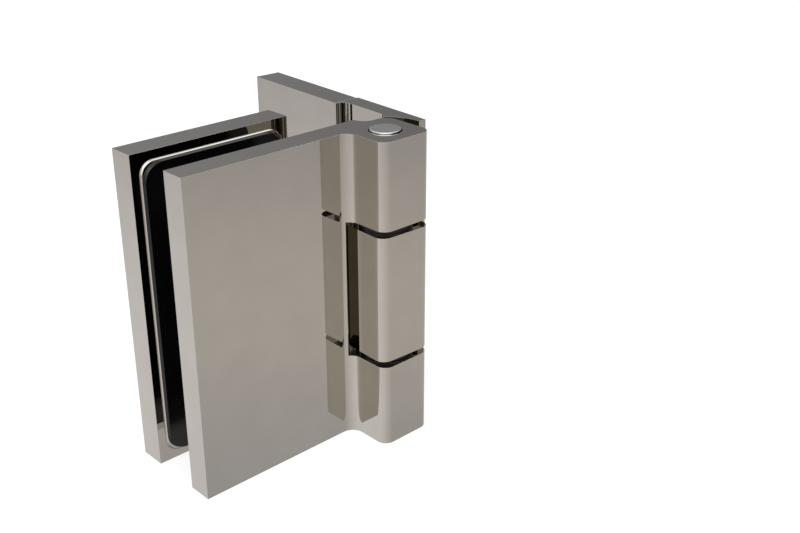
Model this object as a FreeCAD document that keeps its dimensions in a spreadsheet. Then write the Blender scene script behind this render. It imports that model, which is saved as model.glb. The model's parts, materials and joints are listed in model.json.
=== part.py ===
import FreeCAD, Part
import math
import os
import Sketcher

# Glass-to-wall hinge for a frameless glass door.
# Origin on the wall plane at the centre of the leaf's screw holes, +Z up along the pin,
# +X into the wall, +Y from the front clamping plate towards the counter plate.
# Every piece is drawn about the hinge axis, from the plates' lower edges up, and its
# placement then carries it to the wall. The pieces that swing with the door are drawn with
# the door closed and turned about the axis by door_angle, which leaves it slightly open.

# Driving sizes in millimetres, angles in degrees.
SIZES = (
    ("plate_height", "73"),
    ("glass_thickness", "10"),
    ("door_angle", "2.64"),
    # square knuckles on the hinge axis
    ("knuckle_width", "14"),
    ("knuckle_height", "20"),
    ("knuckle_gap", "1.5"),
    ("knuckle_corner", "2.5"),
    ("knuckle_fillet", "3"),
    ("notch_clearance", "0.4"),
    # clamping plates on the glass
    ("front_reach", "48.6"),
    ("front_offset", "4.1"),
    ("front_thickness", "6"),
    ("counter_width", "39.8"),
    ("counter_thickness", "6.5"),
    ("land_height", "0.5"),
    ("land_inset", "1.95"),
    ("land_corner", "3.3"),
    ("land_rim", "0.45"),
    ("gasket_thickness", "0.75"),
    ("gasket_inset", "2.1"),
    ("gasket_corner", "4.7"),
    ("gasket_taper", "25"),
    # screws that draw the two plates together through the glass
    ("clamp_pitch", "36"),
    ("clamp_shank", "6"),
    ("clamp_head", "12"),
    ("clamp_head_slope", "45"),
    ("clamp_socket", "4"),
    ("clamp_socket_depth", "2.2"),
    ("clamp_play", "0.2"),
    ("clamp_grip", "4.5"),
    ("clamp_point", "0.6"),
    ("tapped_spare", "0.5"),
    ("sleeve_diameter", "12"),
    ("sleeve_play", "0.25"),
    # leaf on the wall and the cover over its screws
    ("leaf_thickness", "4.6"),
    ("cove_end", "23"),
    ("shoulder_lip", "0.5"),
    ("recess_clearance", "0.8"),
    ("cover_projection", "2.4"),
    ("cover_end", "55"),
    ("cover_wall", "1.3"),
    ("cover_lift", "0.5"),
    ("cover_play", "0.2"),
    ("wall_hole", "5.5"),
    ("wall_hole_sink", "10"),
    ("wall_hole_pitch", "24"),
    ("tongue_corner", "2"),
    ("clip_thickness", "0.5"),
    ("clip_width", "12"),
    ("clip_length", "5.5"),
    ("clip_leg", "3"),
    # pin, bushes and washers
    ("pin_diameter", "6"),
    ("pin_head", "6.9"),
    ("pin_head_height", "3"),
    ("pin_head_rise", "0.35"),
    ("pin_head_edge", "0.2"),
    ("pin_head_ring", "0.25"),
    ("pin_play", "0.05"),
    ("seat_gap", "0.02"),
    ("bush_wall", "1.5"),
    ("bush_space", "6"),
    ("bush_relief", "0.4"),
    ("washer_diameter", "12"),
    ("washer_play", "0.1"),
    ("end_screw_shank", "3"),
    ("end_screw_length", "8"),
    ("end_screw_head", "2.8"),
    ("end_screw_sink", "0.2"),
    ("end_screw_socket", "2.5"),
    ("set_screw", "4"),
    ("set_screw_sink", "0.4"),
    ("set_screw_socket", "2"),
    ("small_socket_depth", "1.5"),
)

doc = FreeCAD.newDocument("glass_hinge")
sheet = doc.addObject("Spreadsheet::Sheet", "Sizes")
for row, (alias, number) in enumerate(SIZES, start=1):
    sheet.set(f"A{row}", alias)
    sheet.set(f"B{row}", number)
    sheet.setAlias(f"B{row}", alias)
doc.recompute()


class Size:
    """A number together with the sheet expression that gives it."""

    def __init__(self, value, text):
        self.value = float(value)
        self.text = text

    def __add__(self, other):
        other = as_size(other)
        return Size(self.value + other.value, f"({self.text} + {other.text})")

    def __sub__(self, other):
        other = as_size(other)
        return Size(self.value - other.value, f"({self.text} - {other.text})")

    def __mul__(self, factor):
        return Size(self.value * factor, f"({self.text} * {factor!r})")

    def __truediv__(self, divisor):
        return Size(self.value / divisor, f"({self.text} / {divisor!r})")

    def __neg__(self):
        return Size(-self.value, f"(0 - {self.text})")


def as_size(number):
    """Take a plain number as a size."""
    if isinstance(number, Size):
        return number
    return Size(number, f"({float(number)!r})")


class Sizes:
    """The sheet's cells, one attribute for each alias."""

    def __init__(self, names):
        for name in names:
            setattr(self, name, Size(float(sheet.get(name)), f"Sizes.{name}"))


s = Sizes([alias for alias, number in SIZES])
ZERO = as_size(0)

# Places worked out from the driving sizes, with the door closed.
knuckle_half = s.knuckle_width / 2
knuckle_reach = (knuckle_half - s.knuckle_corner) * math.sqrt(2) + s.knuckle_corner
middle_low = s.knuckle_height + s.knuckle_gap
middle_high = s.plate_height - middle_low
upper_low = s.plate_height - s.knuckle_height
notch_radius = knuckle_reach + s.notch_clearance
mid_height = s.plate_height / 2

front_left = -s.front_reach
front_inner = s.front_offset + s.front_thickness
front_land = front_inner + s.land_height
front_pad = front_land + s.gasket_thickness
counter_pad = front_pad + s.glass_thickness
counter_land = counter_pad + s.gasket_thickness
counter_inner = counter_land + s.land_height
counter_outer = counter_inner + s.counter_thickness
counter_right = front_left + s.counter_width
clamp_across = front_left + s.counter_width / 2
clamp_tip = front_inner - s.clamp_grip

leaf_front = knuckle_half
wall_plane = leaf_front + s.leaf_thickness
recess_radius = knuckle_reach + s.recess_clearance
shoulder = s.cove_end + s.shoulder_lip
cover_front = leaf_front - s.cover_projection
cover_back = wall_plane - s.cover_lift
cover_inset = s.cover_wall + s.cover_play
tongue_end = s.cover_end - cover_inset
wall_hole_along = (shoulder + tongue_end) / 2
wall_hole_heights = (
    mid_height - s.wall_hole_pitch,
    mid_height,
    mid_height + s.wall_hole_pitch,
)

pin_radius = s.pin_diameter / 2
bush_inner = pin_radius + s.pin_play
bush_outer = bush_inner + s.bush_wall
bush_length = (middle_high - middle_low - s.bush_space) / 2
head_floor = s.plate_height + s.pin_head_rise - s.pin_head_height
head_bore = s.pin_head / 2 + s.pin_head_ring
pin_foot = s.end_screw_head + s.end_screw_sink
set_screw_rise = s.knuckle_height / 2


def bind(item, **expressions):
    """Tie properties of an object to sizes; a double underscore stands for a dot."""
    for name, size in expressions.items():
        item.setExpression(name.replace("__", "."), size.text)


def new_body(name, swings=False):
    """Start a sub-part; the ones that swing with the door are turned about the pin."""
    body = doc.addObject("PartDesign::Body", name)
    body.Label = name
    body.AllowCompound = True
    turn = s.door_angle if swings else ZERO
    body.Placement = FreeCAD.Placement(
        FreeCAD.Vector(-wall_plane.value, -wall_hole_along.value, -mid_height.value),
        FreeCAD.Rotation(FreeCAD.Vector(0, 0, 1), turn.value),
    )
    bind(
        body,
        Placement__Base__x=-wall_plane,
        Placement__Base__y=-wall_hole_along,
        Placement__Base__z=-mid_height,
    )
    if swings:
        bind(body, Placement__Rotation__Angle=turn)
    return body


def origin_feature(body, role):
    """Find one of a body's own origin planes or axes."""
    return next(item for item in body.Origin.OriginFeatures if item.Role == role)


def new_sketch(body, role, height=ZERO):
    """Add a sketch on an origin plane, moved along the plane's normal."""
    sketch = body.newObject("Sketcher::SketchObject", f"{body.Name}_outline")
    sketch.AttachmentSupport = (origin_feature(body, role), [""])
    sketch.MapMode = "FlatFace"
    bind(sketch, AttachmentOffset__Base__z=height)
    return sketch


def fix_point(sketch, geometry, end, place):
    """Hold one end of a line or arc, or a circle's centre, at a place given by two sizes."""
    for kind, size in zip(("DistanceX", "DistanceY"), place):
        index = sketch.addConstraint(Sketcher.Constraint(kind, geometry, end, size.value))
        sketch.setExpression(f"Constraints[{index}]", size.text)


def point(place):
    return FreeCAD.Vector(place[0].value, place[1].value, 0)


def add_circle(sketch, across, along, radius):
    """Draw a circle round a fixed centre."""
    across, along = as_size(across), as_size(along)
    circle = Part.Circle(point((across, along)), FreeCAD.Vector(0, 0, 1), radius.value)
    geometry = sketch.addGeometry(circle, False)
    fix_point(sketch, geometry, 3, (across, along))
    index = sketch.addConstraint(Sketcher.Constraint("Radius", geometry, radius.value))
    sketch.setExpression(f"Constraints[{index}]", radius.text)


def step_towards(start, end):
    """Signs of the way from one place to the next, for edges along an axis."""
    return tuple(
        0 if abs(b.value - a.value) < 1e-9 else math.copysign(1, b.value - a.value)
        for a, b in zip(start, end)
    )


def add_outline(sketch, corners):
    """Draw a closed outline through corners (x, y) or (x, y, radius).

    A corner with a radius lies between two edges that run along the axes. Its arc starts
    and ends one radius from the corner, and its centre is one radius from both edges.
    """
    corners = [tuple(as_size(value) for value in corner) for corner in corners]
    chain = []
    for index, corner in enumerate(corners):
        here = corner[:2]
        if len(corner) == 2:
            chain.append((here, None, None))
            continue
        radius = corner[2]
        before = step_towards(corners[index - 1][:2], here)
        after = step_towards(here, corners[(index + 1) % len(corners)][:2])
        start = tuple(place - radius * way for place, way in zip(here, before))
        end = tuple(place + radius * way for place, way in zip(here, after))
        centre = tuple(place + radius * way for place, way in zip(start, after))
        outward = FreeCAD.Vector(before[0] - after[0], before[1] - after[1], 0)
        middle = point(centre) + outward * (radius.value / outward.Length)
        chain.append((start, middle, radius))
        chain.append((end, None, None))
    pieces = []
    for index, (start, middle, radius) in enumerate(chain):
        end = chain[(index + 1) % len(chain)][0]
        if (point(end) - point(start)).Length < 1e-7:
            continue
        if middle is None:
            geometry = sketch.addGeometry(Part.LineSegment(point(start), point(end)), False)
        else:
            geometry = sketch.addGeometry(Part.Arc(point(start), middle, point(end)), False)
            held = sketch.addConstraint(Sketcher.Constraint("Radius", geometry, radius.value))
            sketch.setExpression(f"Constraints[{held}]", radius.text)
        forward = (sketch.getPoint(geometry, 1) - point(start)).Length < 1e-6
        pieces.append((geometry, 1 if forward else 2, 2 if forward else 1, start))
    for (geometry, first, last, start), following in zip(pieces, pieces[1:] + pieces[:1]):
        fix_point(sketch, geometry, first, start)
        sketch.addConstraint(
            Sketcher.Constraint("Coincident", geometry, last, following[0], following[1])
        )


def rectangle(left, low, right, high, radius=None):
    """Corners of a rectangle, rounded when a radius is given."""
    rounding = () if radius is None else (radius,)
    return [
        (left, low) + rounding,
        (right, low) + rounding,
        (right, high) + rounding,
        (left, high) + rounding,
    ]


def pad(body, sketch, length, backwards=False):
    """Raise a sketch into material."""
    feature = body.newObject("PartDesign::Pad", f"{body.Name}_pad")
    feature.Profile = sketch
    feature.Reversed = backwards
    bind(feature, Length=length)
    doc.recompute()
    return feature


def pocket(body, sketch, length, backwards=False):
    """Sink a sketch into the body, and make sure that it removes something."""
    before = body.Shape.Volume
    feature = body.newObject("PartDesign::Pocket", f"{body.Name}_pocket")
    feature.Profile = sketch
    feature.Reversed = backwards
    bind(feature, Length=length)
    doc.recompute()
    if not body.Shape.Volume < before - 1e-6:
        raise RuntimeError(f"a pocket in {body.Name} cuts nothing")
    return feature


def turned(body, corners, kind="PartDesign::Revolution"):
    """Turn an outline of radius and height about the hinge axis."""
    sketch = new_sketch(body, "XZ_Plane")
    add_outline(sketch, corners)
    feature = body.newObject(kind, f"{body.Name}_turned")
    feature.Profile = sketch
    feature.ReferenceAxis = (sketch, ["V_Axis"])
    feature.Angle = 360
    doc.recompute()
    return feature


def ring(name, inner, outer, low, high, swings=False):
    """A plain ring on the hinge axis."""
    body = new_body(name, swings)
    turned(body, rectangle(inner, low, outer, high))
    return body


def edges_at(body, test):
    """Names of the body's edges whose whole run passes a test on points."""
    found = []
    for index, edge in enumerate(body.Tip.Shape.Edges, start=1):
        if all(test(place) for place in edge.discretize(5)):
            found.append(f"Edge{index}")
    if not found:
        raise RuntimeError(f"no edge of {body.Name} fits")
    return found


def dress(body, kind, names, **sizes):
    """Round or bevel named edges of a body."""
    base = body.Tip
    feature = body.newObject(f"PartDesign::{kind}", f"{body.Name}_{kind.lower()}")
    feature.Base = (base, names)
    bind(feature, **sizes)
    doc.recompute()
    return feature


def near(value, size):
    return abs(value - size.value) < 1e-5


def add_hexagon(sketch, across, along, flats):
    """Draw the hexagon of a socket round a centre, from the width across its flats."""
    across, along = as_size(across), as_size(along)
    half = flats / 2
    corner = flats / math.sqrt(3)
    add_outline(
        sketch,
        [
            (across + corner, along),
            (across + corner / 2, along + half),
            (across - corner / 2, along + half),
            (across - corner, along),
            (across - corner / 2, along - half),
            (across + corner / 2, along - half),
        ],
    )


# Heights of the two clamping screws, and the outline that both lands and gaskets share.
clamp_heights = (mid_height - s.clamp_pitch / 2, mid_height + s.clamp_pitch / 2)


def pad_outline(inset, corner):
    """Rounded rectangle inside the counter plate's outline."""
    return rectangle(
        front_left + inset, inset, counter_right - inset, s.plate_height - inset, corner
    )


def add_land(body, face, backwards):
    """Raised land that the gasket lies on, with its rim rounded."""
    land_face = front_land if backwards else counter_land
    sketch = new_sketch(body, "XZ_Plane", -face)
    add_outline(sketch, pad_outline(s.land_inset, s.land_corner))
    pad(body, sketch, s.land_height, backwards)
    rim = edges_at(body, lambda place: near(place.y, land_face))
    dress(body, "Fillet", rim, Radius=s.land_rim)


def front_plate():
    """Front clamping plate, cast in one with the upper and lower knuckle."""
    body = new_body("front_plate", swings=True)
    outline = new_sketch(body, "XY_Plane")
    add_outline(
        outline,
        [
            (front_left, s.front_offset),
            (-knuckle_half, s.front_offset, s.knuckle_fillet),
            (-knuckle_half, -knuckle_half, s.knuckle_corner),
            (knuckle_half, -knuckle_half, s.knuckle_corner),
            (knuckle_half, knuckle_half, s.knuckle_corner),
            (ZERO, knuckle_half, front_inner - knuckle_half),
            (ZERO, front_inner),
            (front_left, front_inner),
        ],
    )
    pad(body, outline, s.plate_height)
    notch = new_sketch(body, "XY_Plane", s.knuckle_height)
    add_circle(notch, ZERO, ZERO, notch_radius)
    pocket(body, notch, upper_low - s.knuckle_height, backwards=True)
    add_land(body, front_inner, backwards=True)
    tapped = new_sketch(body, "XZ_Plane", -front_land)
    for height in clamp_heights:
        add_circle(tapped, clamp_across, height, s.clamp_shank / 2 + s.seat_gap)
    pocket(body, tapped, front_land - clamp_tip + s.tapped_spare, backwards=True)
    head_seat = new_sketch(body, "XY_Plane", s.plate_height)
    add_circle(head_seat, ZERO, ZERO, head_bore)
    pocket(body, head_seat, s.plate_height - head_floor)
    pin_hole = new_sketch(body, "XY_Plane", s.plate_height)
    add_circle(pin_hole, ZERO, ZERO, pin_radius + s.seat_gap)
    pocket(body, pin_hole, s.plate_height)
    foot_seat = new_sketch(body, "XY_Plane")
    add_circle(foot_seat, ZERO, ZERO, head_bore)
    pocket(body, foot_seat, pin_foot, backwards=True)
    lock_holes = new_sketch(body, "YZ_Plane", knuckle_half)
    for height in (set_screw_rise, s.plate_height - set_screw_rise):
        add_circle(lock_holes, ZERO, height, s.set_screw / 2 + s.seat_gap)
    pocket(body, lock_holes, knuckle_half)
    return body


def counter_plate():
    """Plain plate behind the glass, countersunk for the two clamping screws."""
    body = new_body("counter_plate", swings=True)
    outline = new_sketch(body, "XY_Plane")
    add_outline(outline, rectangle(front_left, counter_inner, counter_right, counter_outer))
    pad(body, outline, s.plate_height)
    add_land(body, counter_inner, backwards=False)
    holes = new_sketch(body, "XZ_Plane", -counter_outer)
    hole_radius = s.clamp_shank / 2 + s.clamp_play
    for height in clamp_heights:
        add_circle(holes, clamp_across, height, hole_radius)
    pocket(body, holes, counter_outer - counter_land, backwards=True)
    mouths = edges_at(
        body,
        lambda place: near(place.y, counter_outer)
        and any(
            near(math.hypot(place.x - clamp_across.value, place.z - height.value), hole_radius)
            for height in clamp_heights
        ),
    )
    dress(body, "Chamfer", mouths, Size=s.clamp_head / 2 + s.seat_gap - hole_radius)
    return body


def gasket(name, face, backwards):
    """Soft pad on a land, with sloping sides and holes for the two sleeves."""
    body = new_body(name, swings=True)
    outline = new_sketch(body, "XZ_Plane", -face)
    add_outline(outline, pad_outline(s.gasket_inset, s.gasket_corner))
    feature = pad(body, outline, s.gasket_thickness, backwards)
    feature.TaperAngle = -s.gasket_taper.value
    bind(feature, TaperAngle=-s.gasket_taper)
    doc.recompute()
    holes = new_sketch(body, "XZ_Plane", -face)
    for height in clamp_heights:
        add_circle(holes, clamp_across, height, s.sleeve_diameter / 2 + s.sleeve_play)
    pocket(body, holes, s.gasket_thickness, not backwards)
    return body


def clamp_screws():
    """Two countersunk socket screws that draw the plates together through the glass."""
    body = new_body("clamp_screws", swings=True)
    shanks = new_sketch(body, "XZ_Plane", -counter_outer)
    heads = new_sketch(body, "XZ_Plane", -counter_outer)
    sockets = new_sketch(body, "XZ_Plane", -counter_outer)
    for height in clamp_heights:
        add_circle(shanks, clamp_across, height, s.clamp_shank / 2)
        add_circle(heads, clamp_across, height, s.clamp_head / 2)
        add_hexagon(sockets, clamp_across, height, s.clamp_socket)
    pad(body, shanks, counter_outer - clamp_tip)
    tips = edges_at(body, lambda place: near(place.y, clamp_tip))
    dress(body, "Chamfer", tips, Size=s.clamp_point)
    cone = pad(body, heads, (s.clamp_head - s.clamp_shank) / 2)
    bind(cone, TaperAngle=-s.clamp_head_slope)
    doc.recompute()
    pocket(body, sockets, s.clamp_socket_depth, backwards=True)
    return body


def glass_sleeve(name, height):
    """Plastic sleeve that keeps the screw off the edge of the hole in the glass."""
    body = new_body(name, swings=True)
    outline = new_sketch(body, "XZ_Plane", -front_land)
    add_circle(outline, clamp_across, height, s.sleeve_diameter / 2)
    add_circle(outline, clamp_across, height, s.clamp_shank / 2 + s.clamp_play)
    pad(body, outline, counter_land - front_land, backwards=True)
    return body


def wall_leaf():
    """Leaf on the wall with the middle knuckle, a cove step and the tongue under the cover."""
    body = new_body("wall_leaf")
    outline = new_sketch(body, "XY_Plane")
    add_outline(
        outline,
        [
            (wall_plane, ZERO),
            (wall_plane, shoulder),
            (cover_front, shoulder),
            (cover_front, s.cove_end),
            (leaf_front, s.cove_end, s.cover_projection),
            (leaf_front, knuckle_half, s.knuckle_fillet),
            (-knuckle_half, knuckle_half, s.knuckle_corner),
            (-knuckle_half, -knuckle_half, s.knuckle_corner),
            (knuckle_half, -knuckle_half, s.knuckle_corner),
            (knuckle_half, ZERO),
        ],
    )
    pad(body, outline, s.plate_height)
    for level, upwards in ((ZERO, True), (s.plate_height, False)):
        recess = new_sketch(body, "XY_Plane", level)
        add_circle(recess, ZERO, ZERO, recess_radius)
        pocket(body, recess, middle_low, backwards=upwards)
    tongue = new_sketch(body, "YZ_Plane", leaf_front)
    add_outline(
        tongue,
        [
            (s.cove_end, cover_inset),
            (tongue_end, cover_inset, s.tongue_corner),
            (tongue_end, s.plate_height - cover_inset, s.tongue_corner),
            (s.cove_end, s.plate_height - cover_inset),
        ],
    )
    pad(body, tongue, s.leaf_thickness)
    holes = new_sketch(body, "YZ_Plane", leaf_front)
    for height in wall_hole_heights:
        add_circle(holes, wall_hole_along, height, s.wall_hole / 2)
    pocket(body, holes, s.leaf_thickness, backwards=True)
    mouths = edges_at(
        body,
        lambda place: near(place.x, leaf_front)
        and any(
            near(math.hypot(place.y - wall_hole_along.value, place.z - height.value),
                 s.wall_hole / 2)
            for height in wall_hole_heights
        ),
    )
    dress(body, "Chamfer", mouths, Size=(s.wall_hole_sink - s.wall_hole) / 2)
    notches = new_sketch(body, "YZ_Plane", leaf_front)
    half = s.clip_width / 2 + s.cover_play
    floor = s.cover_wall + s.clip_thickness
    for low, high in ((ZERO, floor), (s.plate_height - floor, s.plate_height)):
        add_outline(notches, rectangle(wall_hole_along - half, low, wall_hole_along + half, high))
    pocket(body, notches, s.leaf_thickness, backwards=True)
    bore = new_sketch(body, "XY_Plane", middle_high)
    add_circle(bore, ZERO, ZERO, bush_inner + s.bush_relief)
    pocket(body, bore, middle_high - middle_low)
    for level, upwards in ((middle_low, True), (middle_high, False)):
        seat = new_sketch(body, "XY_Plane", level)
        add_circle(seat, ZERO, ZERO, bush_outer + s.seat_gap)
        pocket(body, seat, bush_length, backwards=upwards)
    return body


def wall_cover():
    """Shell over the wall screws, closed at its front, top, bottom and far end."""
    body = new_body("wall_cover")
    outline = new_sketch(body, "XY_Plane")
    add_outline(outline, rectangle(cover_front, shoulder, cover_back, s.cover_end))
    pad(body, outline, s.plate_height)
    hollow = new_sketch(body, "YZ_Plane", cover_back)
    add_outline(
        hollow,
        rectangle(
            s.cove_end,
            s.cover_wall,
            s.cover_end - s.cover_wall,
            s.plate_height - s.cover_wall,
        ),
    )
    pocket(body, hollow, cover_back - cover_front - s.cover_wall)
    return body


def cover_clip(name, level, inwards):
    """Bent spring strip on the tongue that the cover's end wall snaps over."""
    body = new_body(name)
    section = new_sketch(body, "XZ_Plane", -(wall_hole_along + s.clip_width / 2))
    face = leaf_front - s.clip_thickness
    foot = level + s.clip_length * inwards
    leg = level + s.clip_thickness * inwards
    add_outline(
        section,
        [
            (face, level),
            (leaf_front + s.clip_leg, level),
            (leaf_front + s.clip_leg, leg),
            (leaf_front, leg),
            (leaf_front, foot),
            (face, foot),
        ],
    )
    pad(body, section, s.clip_width)
    return body


def hinge_pin():
    """Pin with a bevelled head in the upper knuckle and a threaded hole in its foot."""
    body = new_body("hinge_pin", swings=True)
    top = s.plate_height + s.pin_head_rise
    rim = s.pin_head / 2
    turned(
        body,
        [
            (ZERO, pin_foot),
            (pin_radius, pin_foot),
            (pin_radius, head_floor),
            (rim, head_floor),
            (rim, top - s.pin_head_edge),
            (rim - s.pin_head_edge, top),
            (ZERO, top),
        ],
    )
    thread = new_sketch(body, "XY_Plane", pin_foot)
    add_circle(thread, ZERO, ZERO, s.end_screw_shank / 2 + s.seat_gap)
    pocket(body, thread, s.end_screw_length + s.tapped_spare, backwards=True)
    return body


def pin_end_screw():
    """Screw in the pin's foot, with its head sunk in the lower knuckle."""
    body = new_body("pin_end_screw", swings=True)
    rim = s.pin_head / 2
    shank = s.end_screw_shank / 2
    tip = pin_foot + s.end_screw_length
    turned(
        body,
        [
            (ZERO, s.end_screw_sink),
            (rim - s.pin_head_edge, s.end_screw_sink),
            (rim, s.end_screw_sink + s.pin_head_edge),
            (rim, pin_foot),
            (shank, pin_foot),
            (shank, tip),
            (ZERO, tip),
        ],
    )
    socket = new_sketch(body, "XY_Plane", s.end_screw_sink)
    add_hexagon(socket, ZERO, ZERO, s.end_screw_socket)
    pocket(body, socket, s.small_socket_depth, backwards=True)
    return body


def pin_set_screws():
    """One set screw in each outer knuckle, so that the pin turns with the door."""
    body = new_body("pin_set_screws", swings=True)
    face = knuckle_half - s.set_screw_sink
    shanks = new_sketch(body, "YZ_Plane", face)
    sockets = new_sketch(body, "YZ_Plane", face)
    for height in (set_screw_rise, s.plate_height - set_screw_rise):
        add_circle(shanks, ZERO, height, s.set_screw / 2)
        add_hexagon(sockets, ZERO, height, s.set_screw_socket)
    pad(body, shanks, face - pin_radius - s.seat_gap, backwards=True)
    pocket(body, sockets, s.small_socket_depth)
    return body


parts = [
    front_plate(),
    counter_plate(),
    gasket("front_gasket", front_land, backwards=True),
    gasket("rear_gasket", counter_land, backwards=False),
    clamp_screws(),
    glass_sleeve("sleeve_lower", clamp_heights[0]),
    glass_sleeve("sleeve_upper", clamp_heights[1]),
    hinge_pin(),
    pin_end_screw(),
    pin_set_screws(),
    wall_leaf(),
    wall_cover(),
    cover_clip("cover_clip_lower", s.cover_wall, 1),
    cover_clip("cover_clip_upper", s.plate_height - s.cover_wall, -1),
    ring("bush_lower", bush_inner, bush_outer, middle_low, middle_low + bush_length),
    ring("bush_upper", bush_inner, bush_outer, middle_high - bush_length, middle_high),
    ring(
        "washer_lower",
        bush_inner,
        s.washer_diameter / 2,
        s.knuckle_height + s.washer_play,
        middle_low,
    ),
    ring(
        "washer_upper",
        bush_inner,
        s.washer_diameter / 2,
        middle_high,
        upper_low - s.washer_play,
    ),
]
doc.recompute()

for item in doc.Objects:
    if "Invalid" in item.State or "Error" in item.State:
        raise RuntimeError(f"{item.Name} did not compute: {item.State}")
for item in parts:
    if item.Shape.isNull() or not item.Shape.isValid() or item.Shape.Volume < 1e-3:
        raise RuntimeError(f"{item.Label} has no valid shape")

os.makedirs("parts", exist_ok=True)
for item in parts:
    item.Shape.exportStep(os.path.join("parts", f"{item.Label}.step"))
    print(item.Label, len(item.Shape.Solids), round(item.Shape.Volume, 1))
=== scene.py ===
import json

import bmesh
import bpy
import numpy as np
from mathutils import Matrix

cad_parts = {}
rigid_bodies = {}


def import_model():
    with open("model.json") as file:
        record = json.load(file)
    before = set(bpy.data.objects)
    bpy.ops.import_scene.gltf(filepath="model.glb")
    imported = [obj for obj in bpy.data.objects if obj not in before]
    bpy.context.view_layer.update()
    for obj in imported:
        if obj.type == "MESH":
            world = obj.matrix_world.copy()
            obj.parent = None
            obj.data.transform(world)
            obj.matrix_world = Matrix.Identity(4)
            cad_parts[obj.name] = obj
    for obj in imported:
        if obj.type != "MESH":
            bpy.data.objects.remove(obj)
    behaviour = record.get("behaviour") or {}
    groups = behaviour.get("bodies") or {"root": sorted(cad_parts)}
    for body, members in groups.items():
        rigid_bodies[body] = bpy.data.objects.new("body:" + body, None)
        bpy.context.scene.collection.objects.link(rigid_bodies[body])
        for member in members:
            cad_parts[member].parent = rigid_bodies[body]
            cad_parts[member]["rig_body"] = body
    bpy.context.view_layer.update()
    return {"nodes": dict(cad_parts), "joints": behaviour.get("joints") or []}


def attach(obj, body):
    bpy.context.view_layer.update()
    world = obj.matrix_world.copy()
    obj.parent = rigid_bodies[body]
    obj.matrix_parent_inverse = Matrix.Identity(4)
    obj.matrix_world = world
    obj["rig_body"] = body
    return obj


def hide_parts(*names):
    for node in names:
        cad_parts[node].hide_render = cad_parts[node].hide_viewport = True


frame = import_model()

# Camera at the photographed angle: above and to the left of the hinge's front, looking down at
# it. The hinge stands on its lower edges, and the picture is 36 mm wide behind a 50 mm lens.
camera = bpy.data.objects.new("camera", bpy.data.cameras.new("camera"))
bpy.context.scene.collection.objects.link(camera)
bpy.context.scene.camera = camera
camera.data.lens = 50
camera.data.sensor_width = 36
camera.data.clip_start = 0.01
camera.location = (-0.158229, -0.212510, 0.106909)
camera.rotation_euler = np.radians((65.788, 0, -40.911))

bpy.context.scene.view_settings.view_transform = "Standard"


# Soft studio round the hinge, as colours from straight below to straight above: a grey table, a
# pale horizon and a bright ceiling. The side that the front plate mirrors has a black band over
# the horizon, and the side that the plates' free edges mirror is paler.
def add_node(tree, kind, sockets=(), **settings):
    """Add one shader node: settings are its own properties, sockets its inputs' values."""
    node = tree.nodes.new(kind)
    for name, value in settings.items():
        setattr(node, name, value)
    for name, value in dict(sockets).items():
        if isinstance(value, bpy.types.NodeSocket):
            tree.links.new(value, node.inputs[name])
        else:
            node.inputs[name].default_value = value
    return node


def set_ramp(node, stops):
    """Put stops on a colour ramp: (place, (red, green, blue))."""
    ramp = node.color_ramp
    while len(ramp.elements) > 1:
        ramp.elements.remove(ramp.elements[-1])
    for index, (place, colour) in enumerate(stops):
        element = ramp.elements[0] if index == 0 else ramp.elements.new(place)
        element.position = place
        element.color = (*colour, 1)


# Polished faces stand close to each other, so light passes between them up to mirror_passes
# times, and none is dropped by chance before sure_passes.
mirror_passes, sure_passes = 16, 10
bpy.context.scene.cycles.max_bounces = mirror_passes
bpy.context.scene.cycles.glossy_bounces = mirror_passes
bpy.context.scene.cycles.min_light_bounces = sure_passes
studio = bpy.data.worlds.new("studio")
bpy.context.scene.world = studio
studio.use_nodes = True
tree = studio.node_tree
tree.nodes.clear()
way = add_node(tree, "ShaderNodeTexCoord").outputs["Generated"]
rise = add_node(tree, "ShaderNodeSeparateXYZ", {0: way}).outputs["Z"]
rise = add_node(tree, "ShaderNodeMapRange", {"Value": rise, "From Min": -1.0}).outputs[0]
facing = add_node(tree, "ShaderNodeValToRGB", {"Fac": rise})
set_ramp(facing, [
    (0.00, (0.19, 0.19, 0.20)), (0.14, (0.42, 0.41, 0.42)), (0.22, (0.530, 0.515, 0.520)),
    (0.242, (0.590, 0.562, 0.562)), (0.262, (0.644, 0.612, 0.592)), (0.283, (0.664, 0.631, 0.606)),
    (0.301, (0.640, 0.608, 0.584)), (0.320, (0.604, 0.572, 0.558)), (0.345, (0.532, 0.502, 0.505)),
    (0.40, (0.44, 0.42, 0.41)), (0.50, (0.53, 0.52, 0.52)), (0.57, (0.38, 0.37, 0.37)),
    (0.62, (0.01, 0.01, 0.01)), (0.68, (0.00, 0.00, 0.00)), (0.76, (0.50, 0.50, 0.50)),
    (0.84, (1.65, 1.65, 1.65)), (0.91, (2.00, 2.00, 2.00)), (0.97, (1.10, 1.10, 1.10)),
])
beside = add_node(tree, "ShaderNodeValToRGB", {"Fac": rise})
set_ramp(beside, [
    (0.00, (0.29, 0.29, 0.31)), (0.14, (0.81, 0.81, 0.83)), (0.24, (0.925, 0.900, 0.925)),
    (0.27, (0.925, 0.900, 0.925)), (0.30, (0.890, 0.860, 0.888)), (0.318, (0.850, 0.820, 0.845)),
    (0.335, (0.780, 0.755, 0.780)), (0.355, (0.718, 0.690, 0.705)), (0.375, (0.655, 0.640, 0.655)),
    (0.42, (0.59, 0.57, 0.57)), (0.50, (0.66, 0.65, 0.65)), (0.57, (0.60, 0.59, 0.59)),
    (0.62, (0.565, 0.578, 0.590)), (0.645, (0.558, 0.564, 0.580)), (0.66, (0.610, 0.608, 0.620)),
    (0.69, (0.64, 0.64, 0.64)), (0.76, (0.90, 0.90, 0.90)), (0.84, (1.65, 1.65, 1.65)),
    (0.91, (2.00, 2.00, 2.00)), (0.97, (1.10, 1.10, 1.10)),
])

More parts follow.
